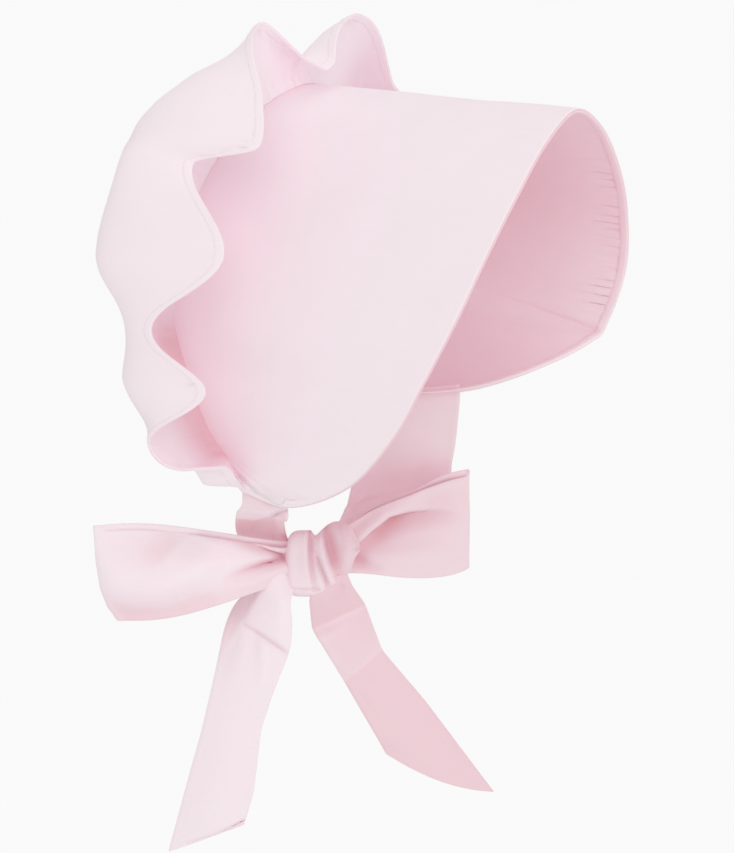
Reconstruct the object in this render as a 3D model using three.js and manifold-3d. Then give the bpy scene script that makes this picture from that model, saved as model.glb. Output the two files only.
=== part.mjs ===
// Baby bonnet in pale pink cotton: a deep smooth brim that wraps the head, a plain crown that closes
// its back, a wide flounce sewn round the crown seam, and two broad ties knotted in a bow.
// Millimetres, +Z up. +X is the wearer's left and -Y the way the face looks.
// The origin is where the top of the head meets the inside of the brim.
import * as THREE from "three";
import { mergeVertices } from "three/addons/utils/BufferGeometryUtils.js";
import Module from "manifold-3d";

const wasm = await Module();
wasm.setup();

const CLOTH_COLOUR = 0xf0d9df;
const SHADE_COLOUR = 0xe8c9d2;
const CLOTH_ROUGHNESS = 0.9;

const BRIM_WALL = 2.2;
const CROWN_WALL = 1.8;
const FLOUNCE_WALL = 1.6;
const TIE_WALL = 1.6;
const SEAM_GAP = 0.3;
const SEAT_DROP = 4.1;

// Brim, from the top centre down each side to the lower back corner.
// half: half width, fwd: towards the face, drop: below the top. The seam columns are the crown seam.
const BRIM_STATIONS = [
  { half: 0, fwd: 87, drop: 3, seamHalf: 0, seamFwd: -50, seamDrop: 3 },
  { half: 24, fwd: 86, drop: 13.5, seamHalf: 26, seamFwd: -54, seamDrop: 9 },
  { half: 45.5, fwd: 83, drop: 35, seamHalf: 45.5, seamFwd: -62, seamDrop: 25 },
  { half: 61.5, fwd: 78, drop: 58, seamHalf: 57, seamFwd: -69, seamDrop: 45 },
  { half: 74, fwd: 70, drop: 85, seamHalf: 64, seamFwd: -75, seamDrop: 72 },
  { half: 79, fwd: 56, drop: 114, seamHalf: 66, seamFwd: -75, seamDrop: 98 },
  { half: 76, fwd: 39, drop: 139, seamHalf: 65, seamFwd: -68, seamDrop: 124 },
  { half: 70, fwd: 14, drop: 162, seamHalf: 63, seamFwd: -61, seamDrop: 144 },
  { half: 64, fwd: -20, drop: 174, seamHalf: 60, seamFwd: -53, seamDrop: 157 },
  { half: 60, fwd: -46, drop: 170, seamHalf: 58.5, seamFwd: -48, seamDrop: 163.5 },
];
const BRIM_BELLY = 3;
const BRIM_STEPS_ROUND = 56;
const BRIM_STEPS_DEEP = 9;
const BRIM_LIP = 0.03;

// The flaps below the cheek corner fold in about a crease that runs back from the corner.
const CREASE_AT = 5 / 9;
const CREASE_ROUND = 0.07;
const FLAP_FOLD = {
  right: { front: 4, seam: 2 },
  left: { front: 53, seam: 18 },
};

const CROWN_DEPTH = 30;
const CROWN_SWEEP = 2.7;
const CROWN_TOP = 0.03;
const CROWN_FOOT = 0.955;
const CROWN_TUCK = 2;
const CROWN_INSET = 2.8;
const CROWN_STEPS_DOWN = 15;
const CROWN_STEPS_ACROSS = 16;

// Flounce, a row for each fold from the right end over the top to the left end.
// at: share of the seam, -1 right end and 1 left end. out: away from the brim, fwd: towards the face,
// along: down the seam towards its end. belly is half way across the cloth and hem its free edge.
const FLOUNCE_FOLDS = [
  { at: -1.0, bellyOut: 8, bellyFwd: -2, hemOut: 6, hemFwd: 4, hemAlong: 3 },
  { at: -0.965, bellyOut: 16, bellyFwd: -4, hemOut: 10, hemFwd: 8, hemAlong: 2 },
  { at: -0.925, bellyOut: 19, bellyFwd: -4, hemOut: 18, hemFwd: 7, hemAlong: -3 },
  { at: -0.87, bellyOut: 20, bellyFwd: -3, hemOut: 32, hemFwd: 1, hemAlong: -8 },
  { at: -0.785, bellyOut: 26, bellyFwd: -5, hemOut: 42, hemFwd: -2, hemAlong: -8 },
  { at: -0.645, bellyOut: 37, bellyFwd: -6, hemOut: 38, hemFwd: 34, hemAlong: -5 },
  { at: -0.565, bellyOut: 27, bellyFwd: -5, hemOut: 39, hemFwd: 14, hemAlong: -5 },
  { at: -0.45, bellyOut: 44, bellyFwd: -11, hemOut: 40, hemFwd: 49, hemAlong: -6 },
  { at: -0.31, bellyOut: 46, bellyFwd: -12, hemOut: 40, hemFwd: 24, hemAlong: 9 },
  { at: -0.262, bellyOut: 49, bellyFwd: -8, hemOut: 38, hemFwd: 46, hemAlong: 6 },
  { at: -0.19, bellyOut: 43, bellyFwd: -3, hemOut: 38, hemFwd: 36, hemAlong: 10 },
  { at: -0.12, bellyOut: 28, bellyFwd: 0, hemOut: 41, hemFwd: 13, hemAlong: 6 },
  { at: -0.085, bellyOut: 22, bellyFwd: 0, hemOut: 37, hemFwd: 6, hemAlong: 0 },
  { at: -0.02, bellyOut: 11, bellyFwd: 4, hemOut: 6, hemFwd: 21, hemAlong: -3 },
  { at: 0.04, bellyOut: 16, bellyFwd: 2, hemOut: 17, hemFwd: 24, hemAlong: 0 },
  { at: 0.1, bellyOut: 19, bellyFwd: 3, hemOut: 31, hemFwd: 15, hemAlong: 0 },
  { at: 0.25, bellyOut: 28, bellyFwd: -4, hemOut: 31, hemFwd: 16, hemAlong: 0 },
  { at: 0.36, bellyOut: 40, bellyFwd: -8, hemOut: 40, hemFwd: 40, hemAlong: 4 },
  { at: 0.45, bellyOut: 28, bellyFwd: -4, hemOut: 42, hemFwd: 6, hemAlong: 0 },
  { at: 0.57, bellyOut: 42, bellyFwd: -10, hemOut: 40, hemFwd: 40, hemAlong: -4 },
  { at: 0.68, bellyOut: 26, bellyFwd: -4, hemOut: 42, hemFwd: 2, hemAlong: 0 },
  { at: 0.79, bellyOut: 30, bellyFwd: -6, hemOut: 34, hemFwd: 26, hemAlong: -3 },
  { at: 0.89, bellyOut: 18, bellyFwd: -3, hemOut: 30, hemFwd: -2, hemAlong: -3 },
  { at: 1.0, bellyOut: 7, bellyFwd: -3, hemOut: 14, hemFwd: -4, hemAlong: 2 },
];
const FLOUNCE_ROOT_CLEAR = { side: 1.1, end: 2.6 };
const FLOUNCE_STEPS_FOLD = 6;
const FLOUNCE_STEPS_WIDE = 7;

// Bow, in its own frame at the knot: across to the wearer's front, out towards the viewer, up.
const KNOT = { x: -10, fwd: -33, drop: 207, turn: -60 };
const KNOT_HALF = { across: 15.5, out: 11, up: 16.5 };
const KNOT_FOLD = 0.9;
const KNOT_FOLDS = 7;

// Tie lengths that run along a line of sections. width: across the cloth, lean: its turn from level,
// curl: how far its middle stands out, slant: how far the cut end runs on at one side.
const TIE_TAIL_RIGHT = [
  { across: -4, up: -9, out: 4, width: 12, lean: 4, curl: 2, slant: 0 },
  { across: -22, up: -22, out: 9, width: 30, lean: 5, curl: 5, slant: 0 },
  { across: -28, up: -40, out: 12, width: 32, lean: 14, curl: 5, slant: 0 },
  { across: -38, up: -76, out: 10, width: 28, lean: 14, curl: 6, slant: 0 },
  { across: -50, up: -121, out: 8, width: 33, lean: 18, curl: 6, slant: 0 },
];
const TIE_TAIL_LEFT = [
  { across: 2, up: -6, out: 0, width: 12, lean: 15, curl: 2, slant: 0 },
  { across: 7, up: -21, out: 2, width: 21, lean: 22, curl: 4, slant: 0 },
  { across: 16, up: -40, out: 5, width: 25, lean: 30, curl: 5, slant: 0 },
  { across: 31, up: -65, out: 4, width: 25, lean: 33, curl: 5, slant: 4 },
  { across: 51, up: -92.5, out: 2, width: 30, lean: 33, curl: 5, slant: 40 },
];

// The tie's upper lengths hang from the brim's lower edge. from and to: the ends of the join as shares
// of the edge. seat: how far below the edge the cloth starts. The rows then carry the cloth to the knot.
const STRAP_RIGHT = {
  from: -1.0,
  to: -0.895,
  seat: 1.4,
  rows: [
    { across: -25, up: 8, out: -9, width: 22, lean: -8, curl: 2 },
    { across: -8, up: 8, out: -9, width: 12, lean: -20, curl: 1 },
  ],
};
const STRAP_LEFT = {
  from: 0.92,
  to: 0.79,
  seat: 3.4,
  rows: [
    { across: 37, up: 32, out: -38, width: 46, lean: 4, curl: -3 },
    { across: 19, up: 23, out: -29, width: 32, lean: 2, curl: -3 },
    { across: 3, up: 13, out: -7, width: 12, lean: -14, curl: -2 },
  ],
};
const STRAP_LEAD = 6;
const TIE_STEPS_LONG = 14;
const TIE_STEPS_WIDE = 4;

// Bow loops. reach: length from the knot, heading: degrees away from across towards the viewer,
// wide and neck: cloth width at the end and at the knot, puff: half the gap between the layers.
const LOOP_RIGHT = { side: -1, reach: 97, heading: 18, wide: 42, neck: 14, puff: 10, rise: -1, rake: 0.26 };
const LOOP_LEFT = { side: 1, reach: 78, heading: -36, wide: 42, neck: 15, puff: 10, rise: 7, rake: 0.02 };
const LOOP_STEPS_LONG = 34;
const LOOP_STEPS_WIDE = 4;

const lerp = THREE.MathUtils.lerp;
const smooth = THREE.MathUtils.smoothstep;
const radians = THREE.MathUtils.degToRad;

// A curve through table rows, mirrored about the top centre. Its parameter runs from -1 to 1.
function mirroredCurve(rows, half, fwd, drop) {
  const left = rows.map((row) => new THREE.Vector3(row[half], -row[fwd], SEAT_DROP - row[drop]));
  const right = left.slice(1).reverse().map((p) => new THREE.Vector3(-p.x, p.y, p.z));
  return new THREE.CatmullRomCurve3([...right, ...left], false, "catmullrom", 0.5);
}

const frontEdge = mirroredCurve(BRIM_STATIONS, "half", "fwd", "drop");
const seamEdge = mirroredCurve(BRIM_STATIONS, "seamHalf", "seamFwd", "seamDrop");

function brimFlat(at, deep) {
  const front = frontEdge.getPoint((at + 1) / 2);
  const seam = seamEdge.getPoint((at + 1) / 2);
  const point = front.clone().lerp(seam, deep);
  const belly = BRIM_BELLY * Math.sin(Math.PI * deep) * Math.sign(at) * smooth(Math.abs(at), 0, 0.4);
  point.x += belly;
  return point;
}

function brimPoint(at, deep) {
  const point = brimFlat(at, deep);
  const share = Math.abs(at);
  if (share <= CREASE_AT - CREASE_ROUND / 2) {
    return point;
  }
  const side = Math.sign(at);
  const fold = side > 0 ? FLAP_FOLD.left : FLAP_FOLD.right;
  const ease = smooth(share, CREASE_AT - CREASE_ROUND / 2, CREASE_AT + CREASE_ROUND / 2);
  const angle = -side * radians(lerp(fold.front, fold.seam, deep)) * ease;
  const crease = brimFlat(side * CREASE_AT, deep);
  const hang = point.clone().sub(crease);
  hang.applyAxisAngle(new THREE.Vector3(0, -1, 0), angle);
  return crease.add(hang);
}

// A wall of cloth about a grid of mid-surface points, closed all round.
function clothWall(grid, wall) {
  const rows = grid.length;
  const columns = grid[0].length;
  const positions = [];
  const normalAt = (i, j) => {
    const along = grid[Math.min(i + 1, rows - 1)][j].clone().sub(grid[Math.max(i - 1, 0)][j]);
    const over = grid[i][Math.min(j + 1, columns - 1)].clone().sub(grid[i][Math.max(j - 1, 0)]);
    return along.cross(over).normalize();
  };
  for (const side of [1, -1]) {
    for (let i = 0; i < rows; i += 1) {
      for (let j = 0; j < columns; j += 1) {
        const point = grid[i][j].clone().addScaledVector(normalAt(i, j), (side * wall) / 2);
        positions.push(point.x, point.y, point.z);
      }
    }
  }
  const at = (side, i, j) => side * rows * columns + i * columns + j;
  const index = [];
  const quad = (a, b, c, d) => index.push(a, b, c, a, c, d);
  for (let i = 0; i + 1 < rows; i += 1) {
    for (let j = 0; j + 1 < columns; j += 1) {
      quad(at(0, i, j), at(0, i + 1, j), at(0, i + 1, j + 1), at(0, i, j + 1));
      quad(at(1, i, j), at(1, i, j + 1), at(1, i + 1, j + 1), at(1, i + 1, j));
    }
  }
  for (let i = 0; i + 1 < rows; i += 1) {
    quad(at(0, i, 0), at(1, i, 0), at(1, i + 1, 0), at(0, i + 1, 0));
    const j = columns - 1;
    quad(at(0, i, j), at(0, i + 1, j), at(1, i + 1, j), at(1, i, j));
  }
  for (let j = 0; j + 1 < columns; j += 1) {
    quad(at(0, 0, j), at(0, 0, j + 1), at(1, 0, j + 1), at(1, 0, j));
    const i = rows - 1;
    quad(at(0, i, j), at(1, i, j), at(1, i, j + 1), at(0, i, j + 1));
  }
  const geometry = new THREE.BufferGeometry();
  geometry.setAttribute("position", new THREE.Float32BufferAttribute(positions, 3));
  geometry.setIndex(index);
  return geometry;
}

function gridOf(rowSteps, columnSteps, pointAt) {
  const grid = [];
  for (let i = 0; i <= rowSteps; i += 1) {
    const row = [];
    for (let j = 0; j <= columnSteps; j += 1) {
      row.push(pointAt(i / rowSteps, j / columnSteps));
    }
    grid.push(row);
  }
  return grid;
}

// grow swells the wall for the clearance around it, and its front edge by about as much.
function brimGeometry(grow) {
  const lip = grow * BRIM_LIP;
  const grid = gridOf(BRIM_STEPS_ROUND, BRIM_STEPS_DEEP, (u, v) => brimPoint(2 * u - 1, lerp(-lip, 1, v)));
  return clothWall(grid, BRIM_WALL + 2 * grow);
}

// Smooth value of one column between the fold rows, level at each crest and trough.
function columnAt(rows, column, at) {
  const slopes = rows.map((row, i) => {
    if (i === 0 || i === rows.length - 1) {
      return 0;
    }
    const before = (row[column] - rows[i - 1][column]) / (row.at - rows[i - 1].at);
    const after = (rows[i + 1][column] - row[column]) / (rows[i + 1].at - row.at);
    return before * after <= 0 ? 0 : (2 * before * after) / (before + after);
  });
  let i = 0;
  while (i < rows.length - 2 && at > rows[i + 1].at) {
    i += 1;
  }
  const span = rows[i + 1].at - rows[i].at;
  const t = (at - rows[i].at) / span;
  const t2 = t * t;
  const t3 = t2 * t;
  return (
    (2 * t3 - 3 * t2 + 1) * rows[i][column] +
    (t3 - 2 * t2 + t) * span * slopes[i] +
    (3 * t2 - 2 * t3) * rows[i + 1][column] +
    (t3 - t2) * span * slopes[i + 1]
  );
}

// Directions at a place on the seam: out from the brim, and along towards the lower end of that side.
function seamFrame(at) {
  const step = 0.01;
  const before = brimPoint(Math.max(at - step, -1), 1);
  const after = brimPoint(Math.min(at + step, 1), 1);
  const run = after.sub(before);
  run.y = 0;
  run.normalize();
  const out = new THREE.Vector3(-run.z, 0, run.x);
  const along = run.clone().multiplyScalar(at < 0 ? -1 : 1);
  const blend = smooth(Math.abs(at), 0, 0.06);
  along.multiplyScalar(blend);
  return { out, along };
}

// The crown spans the seam from side to side in level strips that swell towards the back. Its edge is
// tucked inside the brim.
function crownGeometry() {
  const edgeAt = (at) => brimPoint(at, 1).addScaledVector(seamFrame(at).out, -CROWN_INSET);
  const grid = gridOf(CROWN_STEPS_DOWN, CROWN_STEPS_ACROSS, (u, v) => {
    const at = lerp(CROWN_TOP, CROWN_FOOT, u);
    const point = edgeAt(-at).lerp(edgeAt(at), v);
    const swell = Math.sqrt(Math.sin(CROWN_SWEEP * u));
    point.y += CROWN_DEPTH * swell * Math.sin(v * Math.PI) ** 0.8 - CROWN_TUCK;
    return point;
  });
  return clothWall(grid, CROWN_WALL);
}

function flouncePoint(at, wide) {
  const { out, along } = seamFrame(at);
  const clear = lerp(FLOUNCE_ROOT_CLEAR.side, FLOUNCE_ROOT_CLEAR.end, smooth(Math.abs(at), 0.88, 1));
  const root = brimPoint(at, 1).addScaledVector(out, BRIM_WALL / 2 + clear);
  const value = (column) => columnAt(FLOUNCE_FOLDS, column, at);
  const hem = { out: value("hemOut"), fwd: value("hemFwd"), along: value("hemAlong") };
  const belly = { out: value("bellyOut"), fwd: value("bellyFwd"), along: hem.along * 0.6 };
  const bend = (key) => {
    const control = 2 * belly[key] - hem[key] / 2;
    return 2 * wide * (1 - wide) * control + wide * wide * hem[key];
  };
  return root
    .addScaledVector(out, bend("out"))
    .addScaledVector(along, bend("along"))
    .add(new THREE.Vector3(0, -bend("fwd"), 0));
}

function flounceGeometry() {
  const folds = FLOUNCE_FOLDS.length - 1;
  const placeOf = (u) => {
    const fold = Math.min(Math.floor(u * folds + 1e-6), folds - 1);
    return lerp(FLOUNCE_FOLDS[fold].at, FLOUNCE_FOLDS[fold + 1].at, u * folds - fold);
  };
  const steps = folds * FLOUNCE_STEPS_FOLD;
  const grid = gridOf(steps, FLOUNCE_STEPS_WIDE, (u, v) => flouncePoint(placeOf(u), v));
  return clothWall(grid, FLOUNCE_WALL);
}

const knotTurn = new THREE.Matrix4().makeRotationZ(radians(KNOT.turn));
const knotPlace = new THREE.Matrix4()
  .makeTranslation(KNOT.x, -KNOT.fwd, SEAT_DROP - KNOT.drop)
  .multiply(knotTurn);

function bowPoint(across, out, up) {
  return new THREE.Vector3(across, -out, up).applyMatrix4(knotPlace);
}

// A soft lump with folds that run over it. grow swells it evenly for the clearance around it.
function knotGeometry(grow) {
  const geometry = new THREE.SphereGeometry(1, 26, 14);
  geometry.deleteAttribute("normal");
  geometry.deleteAttribute("uv");
  const places = geometry.getAttribute("position");
  for (let i = 0; i < places.count; i += 1) {
    const ball = new THREE.Vector3().fromBufferAttribute(places, i);
    const square = (value) => Math.sign(value) * Math.abs(value) ** 0.85;
    const ridge = KNOT_FOLD * Math.cos(KNOT_FOLDS * ball.x + 1.5 * ball.z) * (1 - ball.x * ball.x);
    const point = bowPoint(
      square(ball.x) * (KNOT_HALF.across + grow),
      -square(ball.y) * (KNOT_HALF.out + grow + ridge),
      square(ball.z) * (KNOT_HALF.up + grow + ridge),
    );
    places.setXYZ(i, point.x, point.y, point.z);
  }
  return mergeVertices(geometry, 1e-4);
}

function tieGeometry(rows) {
  const line = new THREE.CatmullRomCurve3(
    rows.map((row) => new THREE.Vector3(row.across, row.out, row.up)),
    false,
    "catmullrom",
    0.5,
  );
  const placed = rows.map((row, i) => ({ ...row, at: i / (rows.length - 1) }));
  const grid = gridOf(TIE_STEPS_LONG, TIE_STEPS_WIDE, (u, v) => {
    const middle = line.getPoint(u);
    const run = line.getTangent(u);
    const span = 2 * v - 1;
    const value = (column) => columnAt(placed, column, u);
    const lean = radians(value("lean"));
    const reach = (span * value("width")) / 2;
    const slant = value("slant") * (span / 2);
    return bowPoint(
      middle.x + reach * Math.cos(lean) + run.x * slant,
      middle.y + value("curl") * (1 - span * span) + run.y * slant,
      middle.z + reach * Math.sin(lean) + run.z * slant,
    );
  });
  return clothWall(grid, TIE_WALL);
}

// The upper length of a tie, from the brim's edge to the knot, one line of cloth for each place across.
function strapGeometry(strap) {
  const lineAt = (v) => {
    const edge = lerp(strap.from, strap.to, v);
    const seat = brimPoint(edge, 0);
    const points = [strap.seat, STRAP_LEAD].map((step) => new THREE.Vector3(0, 0, -step).add(seat));
    for (const row of strap.rows) {
      const span = 2 * v - 1;
      const lean = radians(row.lean);
      const reach = (span * row.width) / 2;
      const bulge = row.out + row.curl * (1 - span * span);
      points.push(bowPoint(row.across + reach * Math.cos(lean), bulge, row.up + reach * Math.sin(lean)));
    }
    return new THREE.CatmullRomCurve3(points, false, "centripetal");
  };
  const grid = gridOf(TIE_STEPS_LONG, TIE_STEPS_WIDE, (u, v) => lineAt(v).getPoint(u));
  return clothWall(grid, TIE_WALL);
}

// A loop of tie that leaves the knot, turns at its end and comes back behind itself.
function loopGeometry(loop) {
  const heading = radians(loop.heading);
  const grid = gridOf(LOOP_STEPS_LONG, LOOP_STEPS_WIDE, (u, v) => {
    const turn = 2 * Math.PI * lerp(0.035, 0.965, u);
    const far = (1 - Math.cos(turn)) / 2;
    const puff = loop.puff * Math.sin(turn) * Math.sqrt(far);
    const height = lerp(loop.neck, loop.wide, smooth(far, 0, 0.9)) / 2;
    const span = 2 * v - 1;
    const reach = loop.reach * far + loop.rake * span * height * far;
    const across = loop.side * reach * Math.cos(heading) + puff * Math.sin(heading) * loop.side * -1;
    const out = reach * Math.sin(heading) + puff * Math.cos(heading);
    return bowPoint(across, out, loop.rise * far + span * height);
  });
  return clothWall(grid, TIE_WALL);
}

function solidOf(geometry) {
  const vertProperties = new Float32Array(geometry.getAttribute("position").array);
  const triVerts = new Uint32Array(geometry.getIndex().array);
  return new wasm.Manifold(new wasm.Mesh({ numProp: 3, vertProperties, triVerts }));
}

function geometryOf(solid) {
  const mesh = solid.getMesh();
  const geometry = new THREE.BufferGeometry();
  geometry.setAttribute("position", new THREE.Float32BufferAttribute(mesh.vertProperties, 3));
  geometry.setIndex(Array.from(mesh.triVerts));
  return geometry;
}

function facingOut(geometry) {
  const index = geometry.getIndex().array;
  const places = geometry.getAttribute("position");
  const corner = (i) => new THREE.Vector3().fromBufferAttribute(places, index[i]);
  let volume = 0;
  for (let i = 0; i < index.length; i += 3) {
    volume += corner(i).dot(corner(i + 1).cross(corner(i + 2)));
  }
  if (volume < 0) {
    for (let i = 0; i < index.length; i += 3) {
      [index[i + 1], index[i + 2]] = [index[i + 2], index[i + 1]];
    }
  }
  return geometry;
}

const roundKnot = solidOf(facingOut(knotGeometry(SEAM_GAP)));
const roundBrim = solidOf(facingOut(brimGeometry(SEAM_GAP)));

function clearOf(geometry, ...neighbours) {
  const cut = neighbours.reduce((solid, other) => solid.subtract(other), solidOf(facingOut(geometry)));
  return geometryOf(cut);
}

const bonnet = new THREE.Group();
bonnet.name = "baby_bonnet";

function addPiece(name, geometry, color) {
  const material = new THREE.MeshStandardMaterial({ color, roughness: CLOTH_ROUGHNESS, metalness: 0 });
  const piece = new THREE.Mesh(facingOut(geometry), material);
  piece.name = name;
  bonnet.add(piece);
}

addPiece("brim", brimGeometry(0), CLOTH_COLOUR);
addPiece("crown", clearOf(crownGeometry(), roundBrim), CLOTH_COLOUR);
addPiece("ruffle", flounceGeometry(), CLOTH_COLOUR);
addPiece("tie_strap_right", clearOf(strapGeometry(STRAP_RIGHT), roundKnot), CLOTH_COLOUR);
addPiece("tie_strap_left", clearOf(strapGeometry(STRAP_LEFT), roundKnot), SHADE_COLOUR);
addPiece("bow_knot", knotGeometry(0), CLOTH_COLOUR);
addPiece("bow_loop_right", clearOf(loopGeometry(LOOP_RIGHT), roundKnot), CLOTH_COLOUR);
addPiece("bow_loop_left", clearOf(loopGeometry(LOOP_LEFT), roundKnot), SHADE_COLOUR);
addPiece("tie_tail_right", clearOf(tieGeometry(TIE_TAIL_RIGHT), roundKnot), CLOTH_COLOUR);
addPiece("tie_tail_left", clearOf(tieGeometry(TIE_TAIL_LEFT), roundKnot), SHADE_COLOUR);

export default bonnet;
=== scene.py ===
"""Looks of a baby bonnet in pale pink cotton: brim, crown, ruffle, and broad ties knotted in a bow.

Lengths are in millimetres until a mesh is made. +X is the wearer's left, -Y the way the face looks, +Z up.
"""

import math
from collections import namedtuple

import bpy
import numpy as np
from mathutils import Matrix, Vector


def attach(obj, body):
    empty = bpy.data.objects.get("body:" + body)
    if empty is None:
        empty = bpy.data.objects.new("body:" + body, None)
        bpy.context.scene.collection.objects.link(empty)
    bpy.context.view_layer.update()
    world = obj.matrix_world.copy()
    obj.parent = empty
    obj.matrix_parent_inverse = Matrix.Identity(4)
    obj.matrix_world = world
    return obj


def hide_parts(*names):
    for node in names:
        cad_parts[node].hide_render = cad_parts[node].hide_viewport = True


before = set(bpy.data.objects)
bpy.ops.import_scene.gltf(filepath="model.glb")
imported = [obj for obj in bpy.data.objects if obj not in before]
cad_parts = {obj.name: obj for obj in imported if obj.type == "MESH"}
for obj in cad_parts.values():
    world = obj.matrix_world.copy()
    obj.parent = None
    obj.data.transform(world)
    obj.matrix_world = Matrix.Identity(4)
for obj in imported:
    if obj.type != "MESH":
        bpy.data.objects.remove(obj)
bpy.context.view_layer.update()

MM = 0.001
SEAT_DROP = 4.1
BODY = "root"

# Camera and picture
VIEW_AZIMUTH = -60
VIEW_ELEVATION = 10
MM_PER_PIXEL = 0.43
PICTURE = (734, 853)
ORIGIN_PIXEL = (400.0, 97.4)
CAMERA_DISTANCE = 6000
SENSOR = 36
FAR_CLIP = 200

# Stage, in metres and watts. A lamp's place is right, up and back from the target, as the camera sees it.
FLOOR_HALF = 60
FLOOR_LEVEL = -1.5
FLOOR_GREY = 0.8
FLOOR_GLOW_NEAR = 0.2
FLOOR_GLOW = 0.42
WORLD_LEVEL = 0.66
LAMP_TARGET = (0, 0, -0.12)
Lamp = namedtuple("Lamp", "name place energy size")
LAMPS = [
    Lamp("key light", (-0.1, 0.9, 2.0), 8.2, 1.4),
    Lamp("side light", (2.0, 0.4, 0.8), 4.5, 1.2),
    Lamp("fill light", (0.6, 0.1, 2.1), 1.2, 1.0),
    Lamp("top light", (0.2, 2.0, -0.6), 7, 1.4),
]

# Cloth thicknesses and hems
BRIM_CLOTH = 1.5
CROWN_CLOTH = 1.1
RUFFLE_CLOTH = 1.0
TIE_CLOTH = 1.2
BRIM_HEM = 3.4
RUFFLE_HEM = 3.9
HEM_FULLNESS = 1.45
RIM_NOSE = 0.2
STITCH_LENGTH = 2.2
STITCH_PITCH = 2.6
STITCH_RADIUS = 0.15
STITCH_SIDES = 6

# Rows of points through a hem, as shares of its width from the edge. The stitches lie on one of them.
HEM_MARKS = np.array([0, 0.08, 0.2, 0.36, 0.54, 0.7, 0.82, 0.91, 1, 1.09, 1.18, 1.32, 1.52, 1.8, 2.2])
STITCH_MARK = 8

# Counts of points
BRIM_COLUMNS = 521
BRIM_ROWS = 40
CROWN_GRID = (91, 121)
RUFFLE_STEPS = 18
RUFFLE_TRIAL = 161
RUFFLE_ROWS = 34
TIE_COLUMNS = 47
TAIL_ROWS = 121
STRAP_ROWS = 71
LOOP_ROWS = 181
KNOT_GRID = (130, 200)
NOISE_MARKS = 4096
FIELD_MARKS = 128

# Colours. A tone of 0 is pale, 1 is deep and 2 is shade; the deep and shade colours are painted shade, darker
# pink standing in for shadow.
PALE = (0.965, 0.860, 0.902)
HALF_SHADE = (0.915, 0.695, 0.755)
# The ties' deep colour is greyer, so that the painted shade on them comes out greyer.
TIE_HALF_SHADE = (0.890, 0.655, 0.707)
SHADE = (0.830, 0.480, 0.520)
THREAD = (0.93, 0.80, 0.845)
COTTON_ROUGHNESS = 0.88
THREAD_ROUGHNESS = 0.7
WEAVE_SCALE = 560
WEAVE_BUMP = 0.12
WEAVE_DEPTH = 0.0004
# Amounts of painted shade for each piece, on the scale above: darker pink standing in for shadow in insides,
# under the ruffle, along rims, in creases and on pieces turned from the light.
BRIM_INSIDE_SHADES = (0.9, 1.25)
BRIM_RIM_SHADOW = 1.5
UNDER_RUFFLE_SHADOW = 0.25
CROWN_SHADES = (0, 0.9, 0.5)
RUFFLE_INSIDE_SHADE = 1.6
RUFFLE_RIM_SHADE = 0.8
LOOP_RIGHT_SHADE = 0.1
LOOP_LEFT_SHADE = 0.6
TAIL_RIGHT_SHADE = 0.08
TAIL_LEFT_SHADE = 1.0
STRAP_RIGHT_SHADES = (0.4, 1.2)
STRAP_LEFT_SHADES = (0.5, 1.1)
KNOT_SHADE = 0.25
KNOT_FOLD_SHADE = 0.6
KNOT_CREASE_SHADE = 1.4

# Brim stations from the top centre down each side, as in the frame. The seam columns are the crown seam.
BrimRow = namedtuple("BrimRow", "half fwd drop seam_half seam_fwd seam_drop")
BRIM_STATIONS = [
    BrimRow(0, 87, 3, 0, -50, 3),
    BrimRow(24, 86, 13.5, 26, -54, 9),
    BrimRow(45.5, 83, 35, 45.5, -62, 25),
    BrimRow(61.5, 78, 58, 57, -69, 45),
    BrimRow(74, 70, 85, 64, -75, 72),
    BrimRow(79, 56, 114, 66, -75, 98),
    BrimRow(76, 39, 139, 65, -68, 124),
    BrimRow(70, 14, 162, 63, -61, 144),
    BrimRow(64, -20, 174, 60, -53, 157),
    BrimRow(60, -46, 170, 58.5, -48, 163.5),
]
BRIM_BELLY = 3
NEAR_DROP = 3
CREASE_AT = 5 / 9
CREASE_ROUND_FRONT = 0.035
CREASE_ROUND_SEAM = 0.09
CREASE_TILT = 0.07
PUCKER_PITCH = 5
Fold = namedtuple("Fold", "front seam")
FOLD_RIGHT = Fold(4, 2)
FOLD_LEFT = Fold(53, 18)

CROWN_DEPTH = 30
CROWN_SWEEP = 2.7
CROWN_TOP = 0.03
CROWN_FOOT = 0.955
CROWN_TUCK = 2
CROWN_INSET = 1.4

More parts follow.
